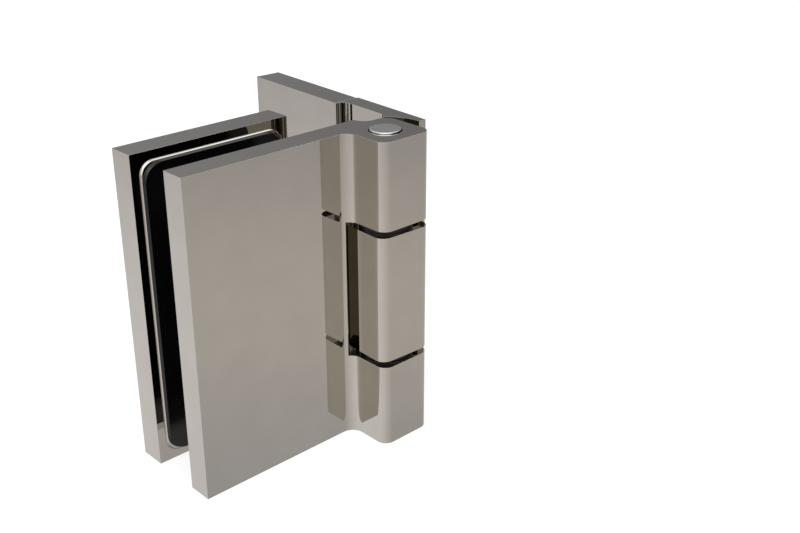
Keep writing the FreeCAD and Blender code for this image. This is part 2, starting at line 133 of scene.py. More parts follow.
# The two sides blend by how far a direction turns towards the free edges' side. A Mix node's
# colours go in at sockets 6 and 7 and come out at socket 2.
free_side, front_end, free_end = (-0.87, 0.50, 0.0), -0.85, 0.83
sideways = add_node(
    tree, "ShaderNodeVectorMath", {0: way, 1: free_side}, operation="DOT_PRODUCT")
turned = add_node(tree, "ShaderNodeMapRange", {
    "Value": sideways.outputs["Value"], "From Min": front_end, "From Max": free_end})
levels = add_node(tree, "ShaderNodeMix", {
    0: turned.outputs[0], 6: facing.outputs[0], 7: beside.outputs[0]}, data_type="RGBA")

# A softbox stands over the camera, and a faint warm wall behind it. Each grows from nothing at
# its rim to full at its core, both given as the cosine of the angle from its middle.
box_way, box_rim, box_core, box_light = (-0.50, -0.62, 0.60), 0.55, 0.9, 1.1
wall_way, wall_rim, wall_core, wall_tint = (-0.82, -0.57, 0.0), 0.2, 0.9, (0.030, 0.020, 0.0)
towards = add_node(tree, "ShaderNodeVectorMath", {0: way, 1: box_way}, operation="DOT_PRODUCT")
softbox = add_node(tree, "ShaderNodeMapRange", {
    "Value": towards.outputs["Value"], "From Min": box_rim, "From Max": box_core,
    "To Max": box_light}, interpolation_type="SMOOTHSTEP")
boxed = add_node(
    tree, "ShaderNodeVectorMath", {0: levels.outputs[2], 1: softbox.outputs[0]}, operation="ADD")
backwards = add_node(tree, "ShaderNodeVectorMath", {0: way, 1: wall_way}, operation="DOT_PRODUCT")
warm_wall = add_node(tree, "ShaderNodeMapRange", {
    "Value": backwards.outputs["Value"], "From Min": wall_rim, "From Max": wall_core,
}, interpolation_type="SMOOTHSTEP")
lit = add_node(tree, "ShaderNodeVectorMath", {
    0: warm_wall.outputs[0], 1: wall_tint, 2: boxed.outputs[0]}, operation="MULTIPLY_ADD")
seen = add_node(tree, "ShaderNodeLightPath").outputs["Is Camera Ray"]
around = add_node(tree, "ShaderNodeBackground", {"Color": lit.outputs[0]})
behind = add_node(tree, "ShaderNodeBackground", {"Color": (1, 1, 1, 1)})
shown = add_node(tree, "ShaderNodeMixShader", {0: seen, 1: around.outputs[0], 2: behind.outputs[0]})
add_node(tree, "ShaderNodeOutputWorld", {"Surface": shown.outputs[0]})

# Table: pale paper that the camera sees as white with a soft shadow of the hinge. Polished
# faces see the studio's own grey below the horizon there, and from below the paper is clear.
joint = frame["joints"][0]
hinge_foot = np.array(joint["pos_m"])
table_half = 1.5
paper_grey, paper_lift, paper_glow = 0.80, 0.75, 1.1
floor_mesh = bpy.data.meshes.new("table")
floor_corners = [
    (x * table_half, y * table_half, hinge_foot[2]) for x, y in ((-1, -1), (1, -1), (1, 1), (-1, 1))
]
floor_mesh.from_pydata(floor_corners, [], [(0, 1, 2, 3)])
floor = bpy.data.objects.new("table", floor_mesh)
bpy.context.scene.collection.objects.link(floor)
paper = bpy.data.materials.new("paper")
paper.use_nodes = True
tree = paper.node_tree
tree.nodes.clear()
rays = add_node(tree, "ShaderNodeLightPath").outputs
matt = add_node(tree, "ShaderNodeBsdfDiffuse", {"Color": (paper_grey, paper_grey, paper_grey, 1)})
lift = add_node(
    tree, "ShaderNodeMath", {0: rays["Is Camera Ray"], 1: paper_lift}, operation="MULTIPLY")
glow = add_node(tree, "ShaderNodeEmission", {"Color": (1, 1, 1, 1), "Strength": paper_glow})
pale = add_node(
    tree, "ShaderNodeMixShader", {0: lift.outputs[0], 1: matt.outputs[0], 2: glow.outputs[0]})
clear = add_node(tree, "ShaderNodeBsdfTransparent")
mirrored = add_node(tree, "ShaderNodeMath", {
    0: rays["Is Glossy Ray"], 1: rays["Is Transmission Ray"]}, operation="MAXIMUM")
below = add_node(tree, "ShaderNodeNewGeometry").outputs["Backfacing"]
opened = add_node(tree, "ShaderNodeMath", {0: mirrored.outputs[0], 1: below}, operation="MAXIMUM")
shown = add_node(
    tree, "ShaderNodeMixShader", {0: opened.outputs[0], 1: pale.outputs[0], 2: clear.outputs[0]})
add_node(tree, "ShaderNodeOutputMaterial", {"Surface": shown.outputs[0]})
floor.data.materials.append(paper)


# Front clamping plate: zinc casting with the upper and lower knuckle in one, machined flat,
# bored for the pin and polished to a warm nickel. It swings with the glass. Sizes are in
# millimetres about the hinge axis, from the plates' lower edges up, with the door closed.
height = 73.0
knuckle = 7.0
knuckle_high = 20.0
knuckle_round = 2.5
fillet = 3.0
free_edge = -48.6
front_face, front_inner = 4.1, 10.1
land_rise, land_rim, land_inset, land_round = 0.5, 0.45, 1.95, 3.3
land_corner = land_inset + land_round
land_right = -8.8
screw_line = -28.7
screw_levels = (18.5, 54.5)
head_hole, pin_hole, set_hole, tapped_hole = 3.7, 3.02, 2.02, 3.02
head_depth, foot_depth, set_depth, tapped_depth = 2.65, 3.0, 3.9, 5.5
notch_play = 0.4
touch, hairline = 1e-6, 1e-9
swing = -np.radians(joint["range_deg"][0])


def outline(corners, steps=24):
    """Closed outline through corners (across, along, radius). A corner with a radius becomes
    centre + radius * (cos a, sin a), with a running evenly between its two tangent points."""
    stretches = []
    for index, (across, along, *rounding) in enumerate(corners):
        here = np.array((across, along), float)
        if not rounding or rounding[0] <= 0:
            stretches.append(here[None])
            continue
        edges = np.array([corners[index - 1][:2], corners[(index + 1) % len(corners)][:2]]) - here
        edges /= np.linalg.norm(edges, axis=1)[:, None]
        half = np.arccos(edges[0] @ edges[1]) / 2
        middle = edges.sum(axis=0) / np.linalg.norm(edges.sum(axis=0))
        centre = here + middle * rounding[0] / np.sin(half)
        start, end = here + edges * rounding[0] / np.tan(half) - centre
        first, last = np.arctan2(start[1], start[0]), np.arctan2(end[1], end[0])
        turn = (last - first + np.pi) % (2 * np.pi) - np.pi
        angles = first + turn * np.linspace(0, 1, steps + 1)[:, None]
        stretches.append(centre + rounding[0] * np.hstack([np.cos(angles), np.sin(angles)]))
    path = np.concatenate(stretches)
    return path[np.linalg.norm(path - np.roll(path, 1, axis=0), axis=1) > touch]


def box_outline(left, low, right, high, radius=0):
    """Outline of a rectangle, its four corners rounded alike."""
    corners = ((left, low), (right, low), (right, high), (left, high))
    return outline([(*corner, radius) for corner in corners])


def circle(radius, centre=(0, 0), steps=64):
    """Closed ring: centre + radius * (cos a, sin a), with a running evenly round."""
    angles = np.arange(steps)[:, None] * 2 * np.pi / steps
    return np.array(centre) + radius * np.hstack([np.cos(angles), np.sin(angles)])


def lift_to(path, level, normal):
    """Stand a flat outline at a level along axis 0, 1 or 2; its own two axes keep their order."""
    return np.insert(path, normal, level, axis=1)


def skin(rings, closed=True):
    """Four-sided faces between rings of equal count, each ring joined to the next."""
    rings = np.asarray(rings, float)
    corners = [rings[:-1], np.roll(rings[:-1], -1, 1), np.roll(rings[1:], -1, 1), rings[1:]]
    faces = np.stack(corners, axis=2)
    return list((faces if closed else faces[:, :-1]).reshape(-1, 4, 3))


def wall(path, start, end, normal=2, closed=False):
    """Wall of a path that is carried along one axis from one level to another."""
    return skin([lift_to(path, level, normal) for level in (start, end)], closed)


def side_run(path, cut, place, side):
    """The stretch of a closed outline on one side of a straight line, with both its ends on
    the line: points where side * (coordinate - place) is positive, and the two crossings."""
    beyond = side * (path[:, cut] - place) > hairline
    first = np.flatnonzero(beyond & ~np.roll(beyond, 1))[0]
    path, beyond = np.roll(path, -first, axis=0), np.roll(beyond, -first)
    count = int(np.argmin(beyond))
    ends = []
    for inside, outside in ((path[0], path[-1]), (path[count - 1], path[count])):
        share = (place - inside[cut]) / (outside[cut] - inside[cut])
        ends.append(inside + share * (outside - inside))
    return np.vstack([ends[0], path[:count], ends[1]])


def cap(path, level, normal, holes=(), cut=0, place=0.0):
    """Flat face inside an outline. Holes that lie on one straight line split it in two there:
    each half runs along the outline and back along the line, round its side of every hole."""
    if not holes:
        return [lift_to(path, level, normal)]
    faces = []
    for side in (-1, 1):
        loop = side_run(path, cut, place, side)
        runs = [side_run(hole, cut, place, side) for hole in holes]
        runs.sort(key=lambda run: abs(run[0, 1 - cut] - loop[-1, 1 - cut]))
        for run in runs:
            near, far = np.abs(run[[0, -1], 1 - cut] - loop[-1, 1 - cut])
            loop = np.vstack([loop, run if near < far else run[::-1]])
        faces.append(lift_to(loop, level, normal))
    return faces


def bore(radii, levels, normal, centre=(0, 0)):
    """Walls of a stepped round hole or shaft: rings of the radii at the levels, joined."""
    return skin([lift_to(circle(r, centre), level, normal) for r, level in zip(radii, levels)])


def stitch(faces):
    """Give each long edge the corners that neighbouring faces have on it, so that the shell
    closes: a corner counts when it lies off the edge's line by less than a micrometre."""
    shortest, micrometre = 1.5, 1e-3
    corners = np.unique(np.round(np.concatenate(faces), 4), axis=0)
    closed = []
    for face in faces:
        loop = []
        for start, end in zip(face, np.roll(face, -1, axis=0)):
            run = end - start
            length = np.linalg.norm(run)
            loop.append(start[None])
            if length < shortest:
                continue
            along = (corners - start) @ run / length**2
            off = np.linalg.norm(corners - start - along[:, None] * run, axis=1)
            inside = np.minimum(along, 1 - along) * length > micrometre
            on = np.flatnonzero((off < micrometre) & inside)
            loop.append(corners[on[np.argsort(along[on])]])
        closed.append(np.vstack(loop))
    return closed


def make_piece(name, faces, node, material, rounding=0.022):
    """Join faces drawn in millimetres into one closed mesh in the frame: points turn about the
    hinge axis by the door's angle where the node swings, and then scale and shift to its foot.
    A small bevel rounds the edges, and normals follow the large faces."""
    weld, smooth_below, large_first = 2e-7, np.radians(25), 90
    body = frame["nodes"][node]["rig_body"]
    angle = swing if body == "door_side" else 0.0
    turn = np.array([
        (np.cos(angle), np.sin(angle), 0), (-np.sin(angle), np.cos(angle), 0), (0, 0, 1)])
    faces = stitch(faces)
    ends = np.cumsum([len(face) for face in faces])
    places = hinge_foot + np.concatenate(faces) @ turn / 1000
    loops = [range(end - len(face), end) for face, end in zip(faces, ends)]
    mesh = bpy.data.meshes.new(name)
    mesh.from_pydata(places, [], loops)
    shell = bmesh.new()
    shell.from_mesh(mesh)
    bmesh.ops.remove_doubles(shell, verts=shell.verts, dist=weld)
    bmesh.ops.recalc_face_normals(shell, faces=shell.faces)
    shell.to_mesh(mesh)
    shell.free()
    mesh.shade_smooth()
    mesh.materials.append(material)
    piece = bpy.data.objects.new(name, mesh)
    bpy.context.scene.collection.objects.link(piece)
    edge = piece.modifiers.new("rounding", "BEVEL")
    edge.width = rounding / 1000
    edge.segments = 3
    edge.limit_method = "ANGLE"
    edge.angle_limit = smooth_below
    edge.use_clamp_overlap = False
    flat = piece.modifiers.new("flatness", "WEIGHTED_NORMAL")
    flat.weight = large_first
    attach(piece, body)
    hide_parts(node)


def new_group(name, inputs, outputs):
    """Start a shader group: sockets are (name, kind) or (name, kind, value)."""
    group = bpy.data.node_groups.new(name, "ShaderNodeTree")
    for way, sockets in (("INPUT", inputs), ("OUTPUT", outputs)):
        for label, kind, *value in sockets:
            socket = group.interface.new_socket(label, in_out=way, socket_type=f"NodeSocket{kind}")
            if value:
                socket.default_value = value[0]
    return group


# Polish of the metal pieces: a broad faint haze and short buffing marks in its gloss, a faint
# change of tone, and a fine wander of the surface.
polish = new_group(
    "polish",
    [("Tone", "Color"), ("Gloss", "Float", 0.05), ("Haze", "Float", 0.03), ("Marks", "Float", 0.03)],
    [("Tone", "Color"), ("Roughness", "Float"), ("Height", "Float")],
)
given = polish.nodes.new("NodeGroupInput").outputs
spot = add_node(polish, "ShaderNodeTexCoord").outputs["Object"]
broad = add_node(polish, "ShaderNodeTexNoise", {"Vector": spot, "Scale": 130.0, "Detail": 3.0})
drawn = add_node(polish, "ShaderNodeMapping", {"Vector": spot, "Scale": (260.0, 260.0, 6000.0)})
marks = add_node(polish, "ShaderNodeTexNoise", {
    "Vector": drawn.outputs[0], "Scale": 1.0, "Detail": 4.0})
ripple = add_node(polish, "ShaderNodeTexNoise", {"Vector": spot, "Scale": 320.0, "Detail": 1.0})
hazed = add_node(polish, "ShaderNodeMath", {
    0: broad.outputs[0], 1: given["Haze"], 2: given["Gloss"]}, operation="MULTIPLY_ADD")
rubbed = add_node(polish, "ShaderNodeMath", {
    0: marks.outputs[0], 1: given["Marks"], 2: hazed.outputs[0]}, operation="MULTIPLY_ADD")
shade = add_node(polish, "ShaderNodeMapRange", {
    "Value": broad.outputs[0], "From Min": 0.3, "From Max": 0.7, "To Min": 0.97, "To Max": 1.02})
toned = add_node(
    polish, "ShaderNodeVectorMath", {0: given["Tone"], "Scale": shade.outputs[0]}, operation="SCALE")
result = polish.nodes.new("NodeGroupOutput")
polish.links.new(toned.outputs[0], result.inputs["Tone"])
polish.links.new(rubbed.outputs[0], result.inputs["Roughness"])
polish.links.new(ripple.outputs[0], result.inputs["Height"])


def metal(name, tone, gloss, haze, marks, wander):
    """Polished or plated metal: the polish group gives its tone, gloss and fine wander."""
    material = bpy.data.materials.new(name)
    material.use_nodes = True
    tree = material.node_tree
    shader = tree.nodes["Principled BSDF"]
    shader.inputs["Metallic"].default_value = 1
    finish = add_node(tree, "ShaderNodeGroup", node_tree=polish)
    finish.inputs["Tone"].default_value = (*tone, 1)
    finish.inputs["Gloss"].default_value = gloss
    finish.inputs["Haze"].default_value = haze
    finish.inputs["Marks"].default_value = marks
    bump = add_node(tree, "ShaderNodeBump", {
        "Height": finish.outputs["Height"], "Distance": wander, "Strength": 1.0})
    tree.links.new(finish.outputs["Tone"], shader.inputs["Base Color"])
    tree.links.new(finish.outputs["Roughness"], shader.inputs["Roughness"])
    tree.links.new(bump.outputs[0], shader.inputs["Normal"])
    return material


nickel = metal(
    "warm_nickel", (0.530, 0.507, 0.458), gloss=0.004, haze=0.008, marks=0.008, wander=5e-7)


def meet(centre, radius, reach, side):
    """Where a circle crosses a larger one round the axis: the angle between that point and the
    centre follows from the triangle of the two radii and the centre's distance."""
    span = np.hypot(*centre)
    lean = np.arccos((reach**2 + span**2 - radius**2) / (2 * reach * span))
    angle = np.arctan2(centre[1], centre[0]) + side * lean
    return reach * np.array((np.cos(angle), np.sin(angle)))


def arc_run(reach, start, end, steps=36):
    """Arc round the axis from one point to another: reach * (cos a, sin a), evenly in a."""
    first, last = np.arctan2(start[1], start[0]), np.arctan2(end[1], end[0])
    angles = np.linspace(first, last, steps + 1)[:, None]
    return reach * np.hstack([np.cos(angles), np.sin(angles)])


# The casting's section across the axis: the plate, the fillet and the knuckle. The round notch
# for the middle knuckle parts it into the plate's grip, the knuckle's flank and the web.
web_round = front_inner - knuckle
section = outline([
    (free_edge, front_face),
    (-knuckle, front_face, fillet),
    (-knuckle, -knuckle, knuckle_round),
    (knuckle, -knuckle, knuckle_round),
    (knuckle, knuckle, knuckle_round),
    (0, knuckle, web_round),
    (0, front_inner),
    (free_edge, front_inner),
])
notch = (knuckle - knuckle_round) * np.sqrt(2) + knuckle_round + notch_play
horn = meet((-knuckle - fillet, front_face - fillet), fillet, notch, -1)
web_end = meet((web_round, front_inner), web_round, notch, 1)
within = np.flatnonzero(np.hypot(*section.T) < notch)
grip = np.vstack([section[:within[0]], horn])
flank = np.vstack([horn, section[within], web_end])
web = np.vstack([web_end, section[within[-1] + 1:]])
section = np.vstack([grip, flank[1:-1], web])
notch_run = arc_run(notch, horn, web_end)
upper = height - knuckle_high


def glass_side(inset, corner):
    """Rounded rectangle on the glass side of the plates: inset alike all round, with corners of
    a radius that shrinks by the inset."""
    return box_outline(
        free_edge + inset, inset, land_right - inset, height - inset, corner - inset)


def land(face, way, holes, steps=6):
    """Raised land: the outline steps inwards and up round a quarter circle at its rim."""
    angles = np.linspace(0, np.pi / 2, steps + 1)
    levels = face + way * (land_rise - land_rim + land_rim * np.sin(angles))
    paths = [glass_side(land_inset + land_rim * (1 - np.cos(a)), land_corner) for a in angles]
    rings = [lift_to(paths[0], face, 1)]
    rings += [lift_to(path, level, 1) for path, level in zip(paths, levels)]
    return skin(rings) + cap(paths[-1], levels[-1], 1, holes, 0, screw_line)


def screw_rings(radius):
    """Rings of one radius round both clamping screws."""
    return [circle(radius, (screw_line, level)) for level in screw_levels]


# Lower and upper end of the casting, and the two ledges in the notch, with the pin's holes.
front = cap(section, 0, 2, [circle(head_hole)], 1)
front += cap(section, height, 2, [circle(head_hole)], 1)
ledge = np.vstack([flank, notch_run[-2:0:-1]])
front += cap(ledge, knuckle_high, 2, [circle(pin_hole)], 1)
front += cap(ledge, upper, 2, [circle(pin_hole)], 1)

# The outer knuckles: the side towards the wall is a flat of its own, with the set screw's hole.
for low, high in ((0, knuckle_high), (upper, height)):
    front += [
        face for face in wall(flank, low, high) if np.abs(face[:, 0] - knuckle).max() > touch]
    side = box_outline(-knuckle + knuckle_round, low, knuckle - knuckle_round, high)
    level = (low + high) / 2
    ring, set_end = circle(set_hole, (0, level)), knuckle - set_depth
    front += cap(side, knuckle, 0, [ring], 0)
    front += wall(ring, knuckle, set_end, 0, closed=True) + cap(ring, set_end, 0)

# The plate's walls, the notch's wall, the free edge, and the inner face round the raised land
# with its tapped holes. Then the stepped holes for the pin's head and for its end screw.
front += wall(grip, 0, height) + wall(web[:-1], 0, height) + wall(notch_run, knuckle_high, upper)
front += cap(box_outline(front_face, 0, front_inner, height), free_edge, 0)
land_hole = glass_side(land_inset, land_corner)
front += cap(box_outline(free_edge, 0, 0, height), front_inner, 1, [land_hole], 1, height / 2)
front += land(front_inner, 1, screw_rings(tapped_hole))
front_land = front_inner + land_rise
tapped_end = front_land - tapped_depth
for ring in screw_rings(tapped_hole):
    front += wall(ring, front_land, tapped_end, 1, closed=True) + cap(ring, tapped_end, 1)
head_seat = height - head_depth
stepped = (head_hole, head_hole, pin_hole, pin_hole)
front += bore(stepped, (height, head_seat, head_seat, upper), 2)
front += bore(stepped, (0, foot_depth, foot_depth, knuckle_high), 2)
make_piece("front_plate_casting", front, "front_plate", nickel)


# Counter plate: a plain rectangle of the same polished metal behind the glass, countersunk
# from its outer face for the two clamping screws, with the same raised land on its inside.
counter_inner, counter_outer = 22.6, 29.1
screw_hole, screw_mouth = 3.2, 6.02
edge_path = glass_side(0, 0)
counter = cap(edge_path, counter_outer, 1, screw_rings(screw_mouth), 0, screw_line)
counter += cap(edge_path, counter_inner, 1, [land_hole], 1, height / 2)
counter += land(counter_inner, -1, screw_rings(screw_hole))
counter_land = counter_inner - land_rise
sink = counter_outer - (screw_mouth - screw_hole)
for level in screw_levels:
    counter += bore(
        (screw_mouth, screw_hole, screw_hole), (counter_outer, sink, counter_land), 1,
        (screw_line, level))
counter += wall(edge_path, counter_inner, counter_outer, 1, closed=True)
make_piece("counter_plate_machined", counter, "counter_plate", nickel)


# Gaskets: black moulded pads on both lands, glossy where they were pressed against the mould,
# with sloping sides and a round hole for each screw sleeve. They press on the glass.
def moulded(name, tone, gloss, grain, shine, uneven=0.12):
    """Moulded plastic or rubber: a fine grain as relief, and faint flow marks in tone and gloss."""
    material = bpy.data.materials.new(name)
    material.use_nodes = True
    tree = material.node_tree
    shader = tree.nodes["Principled BSDF"]
    shader.inputs["Specular IOR Level"].default_value = shine
    spot = add_node(tree, "ShaderNodeTexCoord").outputs["Object"]
    fine = add_node(tree, "ShaderNodeTexNoise", {"Vector": spot, "Scale": 4200.0, "Detail": 3.0})
    flow = add_node(tree, "ShaderNodeTexNoise", {"Vector": spot, "Scale": 190.0, "Detail": 2.0})
    shade = add_node(tree, "ShaderNodeMapRange", {
        "Value": flow.outputs[0], "From Min": 0.3, "From Max": 0.7, "To Min": 0.85, "To Max": 1.15})
    toned = add_node(
        tree, "ShaderNodeVectorMath", {0: tone, "Scale": shade.outputs[0]}, operation="SCALE")
    rough = add_node(tree, "ShaderNodeMath", {
        0: flow.outputs[0], 1: uneven, 2: gloss - uneven / 2}, operation="MULTIPLY_ADD")
    bump = add_node(tree, "ShaderNodeBump", {
        "Height": fine.outputs[0], "Distance": grain, "Strength": 1.0})
    tree.links.new(toned.outputs[0], shader.inputs["Base Color"])
    tree.links.new(rough.outputs[0], shader.inputs["Roughness"])
    tree.links.new(bump.outputs[0], shader.inputs["Normal"])
    return material


rubber = moulded("gasket_rubber", (0.0022, 0.0022, 0.0024), gloss=0.16, grain=2e-6, shine=0.4)
pad_thick, pad_inset, pad_round = 0.75, 2.1, 4.7
pad_corner = pad_inset + pad_round
pad_slope = np.tan(np.radians(25))
sleeve_hole = 6.25
soft_edge = 0.12


def gasket(face, way):
    """Pad from a land's face: the outline shrinks as it rises, which slopes the sides."""
    holes = screw_rings(sleeve_hole)
    base = glass_side(pad_inset, pad_corner)
    top = glass_side(pad_inset + pad_thick * pad_slope, pad_corner)
    high = face + way * pad_thick
    faces = cap(base, face, 1, holes, 0, screw_line) + cap(top, high, 1, holes, 0, screw_line)
    faces += skin([lift_to(base, face, 1), lift_to(top, high, 1)])
    for ring in holes:
        faces += wall(ring, face, high, 1, closed=True)
    return faces


for name, land_face, way in (("front_gasket", front_land, 1), ("rear_gasket", counter_land, -1)):
    make_piece(f"{name}_pad", gasket(land_face, way), name, rubber, soft_edge)


# Clamping screws: stainless countersunk socket screws from the counter plate's outer face into
# the front plate. Each turns inside a plastic sleeve that keeps it off the glass.
def hexagon(flats, centre, steps):
    """Six-sided ring: the distance at angle a is half the flats over the cosine of a's way
    from the middle of its side, and with steps a multiple of six every corner is a point."""
    angles = np.arange(steps)[:, None] * 2 * np.pi / steps
    off_side = (angles + np.pi / 6) % (np.pi / 3) - np.pi / 6
    reach = flats / 2 / np.cos(off_side)
    return np.array(centre) + reach * np.hstack([np.cos(angles), np.sin(angles)])


def socket_screw(profile, flats, depth, way, normal, centre):
    """Screw with a hexagon socket: rings of the profile (radius, level) from the head's face to
    the tip, and inside the face the socket's walls down to a shallow cone. The face looks up
    the axis named by normal where way is 1, and down it where way is -1."""
    cone, point, steps = 0.25, 0.02, 60
    rings = [lift_to(circle(radius, centre, steps), level, normal) for radius, level in profile]
    face = profile[0][1]
    bottom = face - way * depth
    sizes = ((point, bottom - way * cone * flats), (1, bottom), (1, face))
    socket = [
        lift_to(hexagon(flats * size, centre, steps), level, normal) for size, level in sizes]
    return skin(socket + rings) + [rings[-1], socket[0]]


steel = metal("screw_steel", (0.56, 0.55, 0.53), gloss=0.10, haze=0.05, marks=0.10, wander=1e-6)
screw_tip, screw_head, screw_shank, screw_bevel = 5.6, 6.0, 3.0, 0.6
screw_flats, screw_socket = 4.0, 2.2
screw_profile = (
    (screw_head, counter_outer), (screw_shank, counter_outer - screw_head + screw_shank),
    (screw_shank, screw_tip + screw_bevel), (screw_shank - screw_bevel, screw_tip),
)
screws = []
for level in screw_levels:
    screws += socket_screw(screw_profile, screw_flats, screw_socket, 1, 1, (screw_line, level))
make_piece("clamping_screws", screws, "clamp_screws", steel, soft_edge)


# Sleeves: two short tubes of pale plastic round the clamping screws, which fill the holes in
# the glass from land to land.
nylon = moulded("sleeve_nylon", (0.62, 0.61, 0.57), gloss=0.42, grain=6e-6, shine=0.5)
sleeve_outer = 6.0
for name, level in zip(("sleeve_lower", "sleeve_upper"), screw_levels):
    tube = bore(
        (screw_hole, sleeve_outer, sleeve_outer, screw_hole, screw_hole),
        (front_land, front_land, counter_land, counter_land, front_land), 1, (screw_line, level))
    make_piece(f"{name}_tube", tube, name, nylon, soft_edge)


# Wall leaf: casting with the middle knuckle and a cove step, screwed flat to the wall. Round
# recesses clear the outer knuckles, and a thin tongue with three countersunk holes lies under
# the cover.
knuckle_gap, recess_play = 1.5, 0.8
middle_low = knuckle_high + knuckle_gap
middle_high = height - middle_low
wall_plane = 11.6
leaf_front = knuckle
cove_end, shoulder, cover_front = 23.0, 23.5, 4.6
recess = (knuckle - knuckle_round) * np.sqrt(2) + knuckle_round + recess_play
horn = meet((leaf_front - fillet, knuckle + fillet), fillet, recess, -1)
leaf = outline([
    (wall_plane, 0),
    (wall_plane, shoulder),
    (cover_front, shoulder),
    (cover_front, cove_end),
    (leaf_front, cove_end, leaf_front - cover_front),
    (leaf_front, knuckle, fillet),
    (-knuckle, knuckle, knuckle_round),
    (-knuckle, -knuckle, knuckle_round),
    (knuckle, -knuckle, knuckle_round),
    (knuckle, 0),
])

# The outline parts at the recess: the plate's run outside it has the leaf's full height, and
# the knuckle's run inside it has only the middle knuckle's.
outside = (np.hypot(*leaf.T) > recess) & (leaf[:, 1] > horn[1] - touch)
on_plate = outside | (leaf[:, 0] > recess)
plate_run = np.vstack([leaf[on_plate], horn])
knuckle_run = np.vstack([horn, leaf[~on_plate], (recess, 0)])
recess_run = arc_run(recess, horn, (recess, 0))
plate_section = np.vstack([plate_run, recess_run[1:]])
ledge = np.vstack([knuckle_run[:-1], recess_run[:0:-1]])

# Ends of the plate, and the middle knuckle's two ledges with the bushes' holes. The line that
# splits a ledge runs a little beside the axis, because the outline has a corner level with it.
bush_hole, ledge_cut = 4.57, -0.5
wall_leaf = cap(plate_section, 0, 2) + cap(plate_section, height, 2)
for level in (middle_low, middle_high):
    wall_leaf += cap(ledge, level, 2, [circle(bush_hole)], 1, ledge_cut)

# The tongue under the cover, with the countersunk wall screw holes and, at the middle of its
# lower and upper edge, a shallow step for each of the cover's clips.
tongue_low, tongue_end, tongue_round = 1.5, 53.5, 2.0
hole_along, hole_step = (shoulder + tongue_end) / 2, 24
hole_levels = (height / 2 - hole_step, height / 2, height / 2 + hole_step)
wall_hole, wall_mouth = 2.75, 5.0
clip_half, clip_floor = 6.2, 1.8
tongue_high = height - tongue_low
tongue = outline([
    (shoulder, tongue_low),
    (hole_along - clip_half, tongue_low),
    (hole_along - clip_half, clip_floor),
    (hole_along + clip_half, clip_floor),
    (hole_along + clip_half, tongue_low),
    (tongue_end, tongue_low, tongue_round),
    (tongue_end, tongue_high, tongue_round),
    (hole_along + clip_half, tongue_high),
    (hole_along + clip_half, height - clip_floor),
    (hole_along - clip_half, height - clip_floor),
    (hole_along - clip_half, tongue_high),
    (shoulder, tongue_high),
])
mouths = [circle(wall_mouth, (hole_along, level)) for level in hole_levels]
holes = [circle(wall_hole, (hole_along, level)) for level in hole_levels]
wall_leaf += cap(tongue, leaf_front, 0, mouths, 0, hole_along)
back = np.vstack([(0, 0), (shoulder, 0), tongue, (shoulder, height), (0, height)])
wall_leaf += cap(back, wall_plane, 0, holes, 0, hole_along)
wall_leaf += wall(tongue, leaf_front, wall_plane, 0)
wall_leaf += cap(outline([
    (wall_plane, 0), (cover_front, 0), (cover_front, height), (wall_plane, height),
    (wall_plane, tongue_high), (leaf_front, tongue_high), (leaf_front, tongue_low),
    (wall_plane, tongue_low),
]), shoulder, 1)
for level in hole_levels:
    wall_leaf += bore(
        (wall_mouth, wall_hole, wall_hole),
        (leaf_front, leaf_front + wall_mouth - wall_hole, wall_plane), 0, (hole_along, level))

# The plate's front with the cove, the middle knuckle's walls, both recesses, and the near end,
# which the recesses cut back. Then the bushes' holes with a narrower bore between them.
front_run = plate_run[plate_run[:, 0] < wall_plane - touch]
front_run = front_run[np.argmax(np.abs(front_run[:, 1] - shoulder) < touch):]
wall_leaf += wall(front_run, 0, height) + wall(knuckle_run[:-1], middle_low, middle_high)
wall_leaf += wall(recess_run, 0, middle_low) + wall(recess_run, middle_high, height)
wall_leaf += cap(outline([
    (recess, 0), (wall_plane, 0), (wall_plane, height), (recess, height), (recess, middle_high),
    (knuckle, middle_high), (knuckle, middle_low), (recess, middle_low),
]), 0, 1)
bush_room, relief_hole = 6.0, 3.45
bush_long = (middle_high - middle_low - bush_room) / 2
wall_leaf += bore(
    (bush_hole, bush_hole, relief_hole, relief_hole, bush_hole, bush_hole),
    (middle_low, middle_low + bush_long, middle_low + bush_long,
     middle_high - bush_long, middle_high - bush_long, middle_high), 2)
make_piece("wall_leaf_casting", wall_leaf, "wall_leaf", nickel)


# Cover: polished shell that snaps over the wall screws, closed on its front, top, bottom and
# far end, and open towards the wall and towards the leaf's shoulder.
cover_end, cover_back, cover_wall = 55.0, 11.1, 1.3
inside_front = cover_front + cover_wall
inside_end = cover_end - cover_wall
inside_low, inside_high = cover_wall, height - cover_wall

# Each wall's outer and inner face, and then the rims towards the wall and the shoulder.
cover = cap(box_outline(shoulder, 0, cover_end, height), cover_front, 0)
cover += cap(box_outline(shoulder, inside_low, inside_end, inside_high), inside_front, 0)
for level in (0, height):
    cover += cap(box_outline(cover_front, shoulder, cover_back, cover_end), level, 2)
for level in (inside_low, inside_high):
    cover += cap(box_outline(inside_front, shoulder, cover_back, inside_end), level, 2)
cover += cap(box_outline(cover_front, 0, cover_back, height), cover_end, 1)
cover += cap(box_outline(inside_front, inside_low, cover_back, inside_high), inside_end, 1)
cover += cap(outline([
    (shoulder, 0), (cover_end, 0), (cover_end, height), (shoulder, height),
    (shoulder, inside_high), (inside_end, inside_high), (inside_end, inside_low),
    (shoulder, inside_low),
]), cover_back, 0)
cover += cap(outline([
    (cover_back, 0), (cover_front, 0), (cover_front, height), (cover_back, height),
    (cover_back, inside_high), (inside_front, inside_high), (inside_front, inside_low),
    (cover_back, inside_low),
]), shoulder, 1)
make_piece("screw_cover_shell", cover, "wall_cover", nickel)


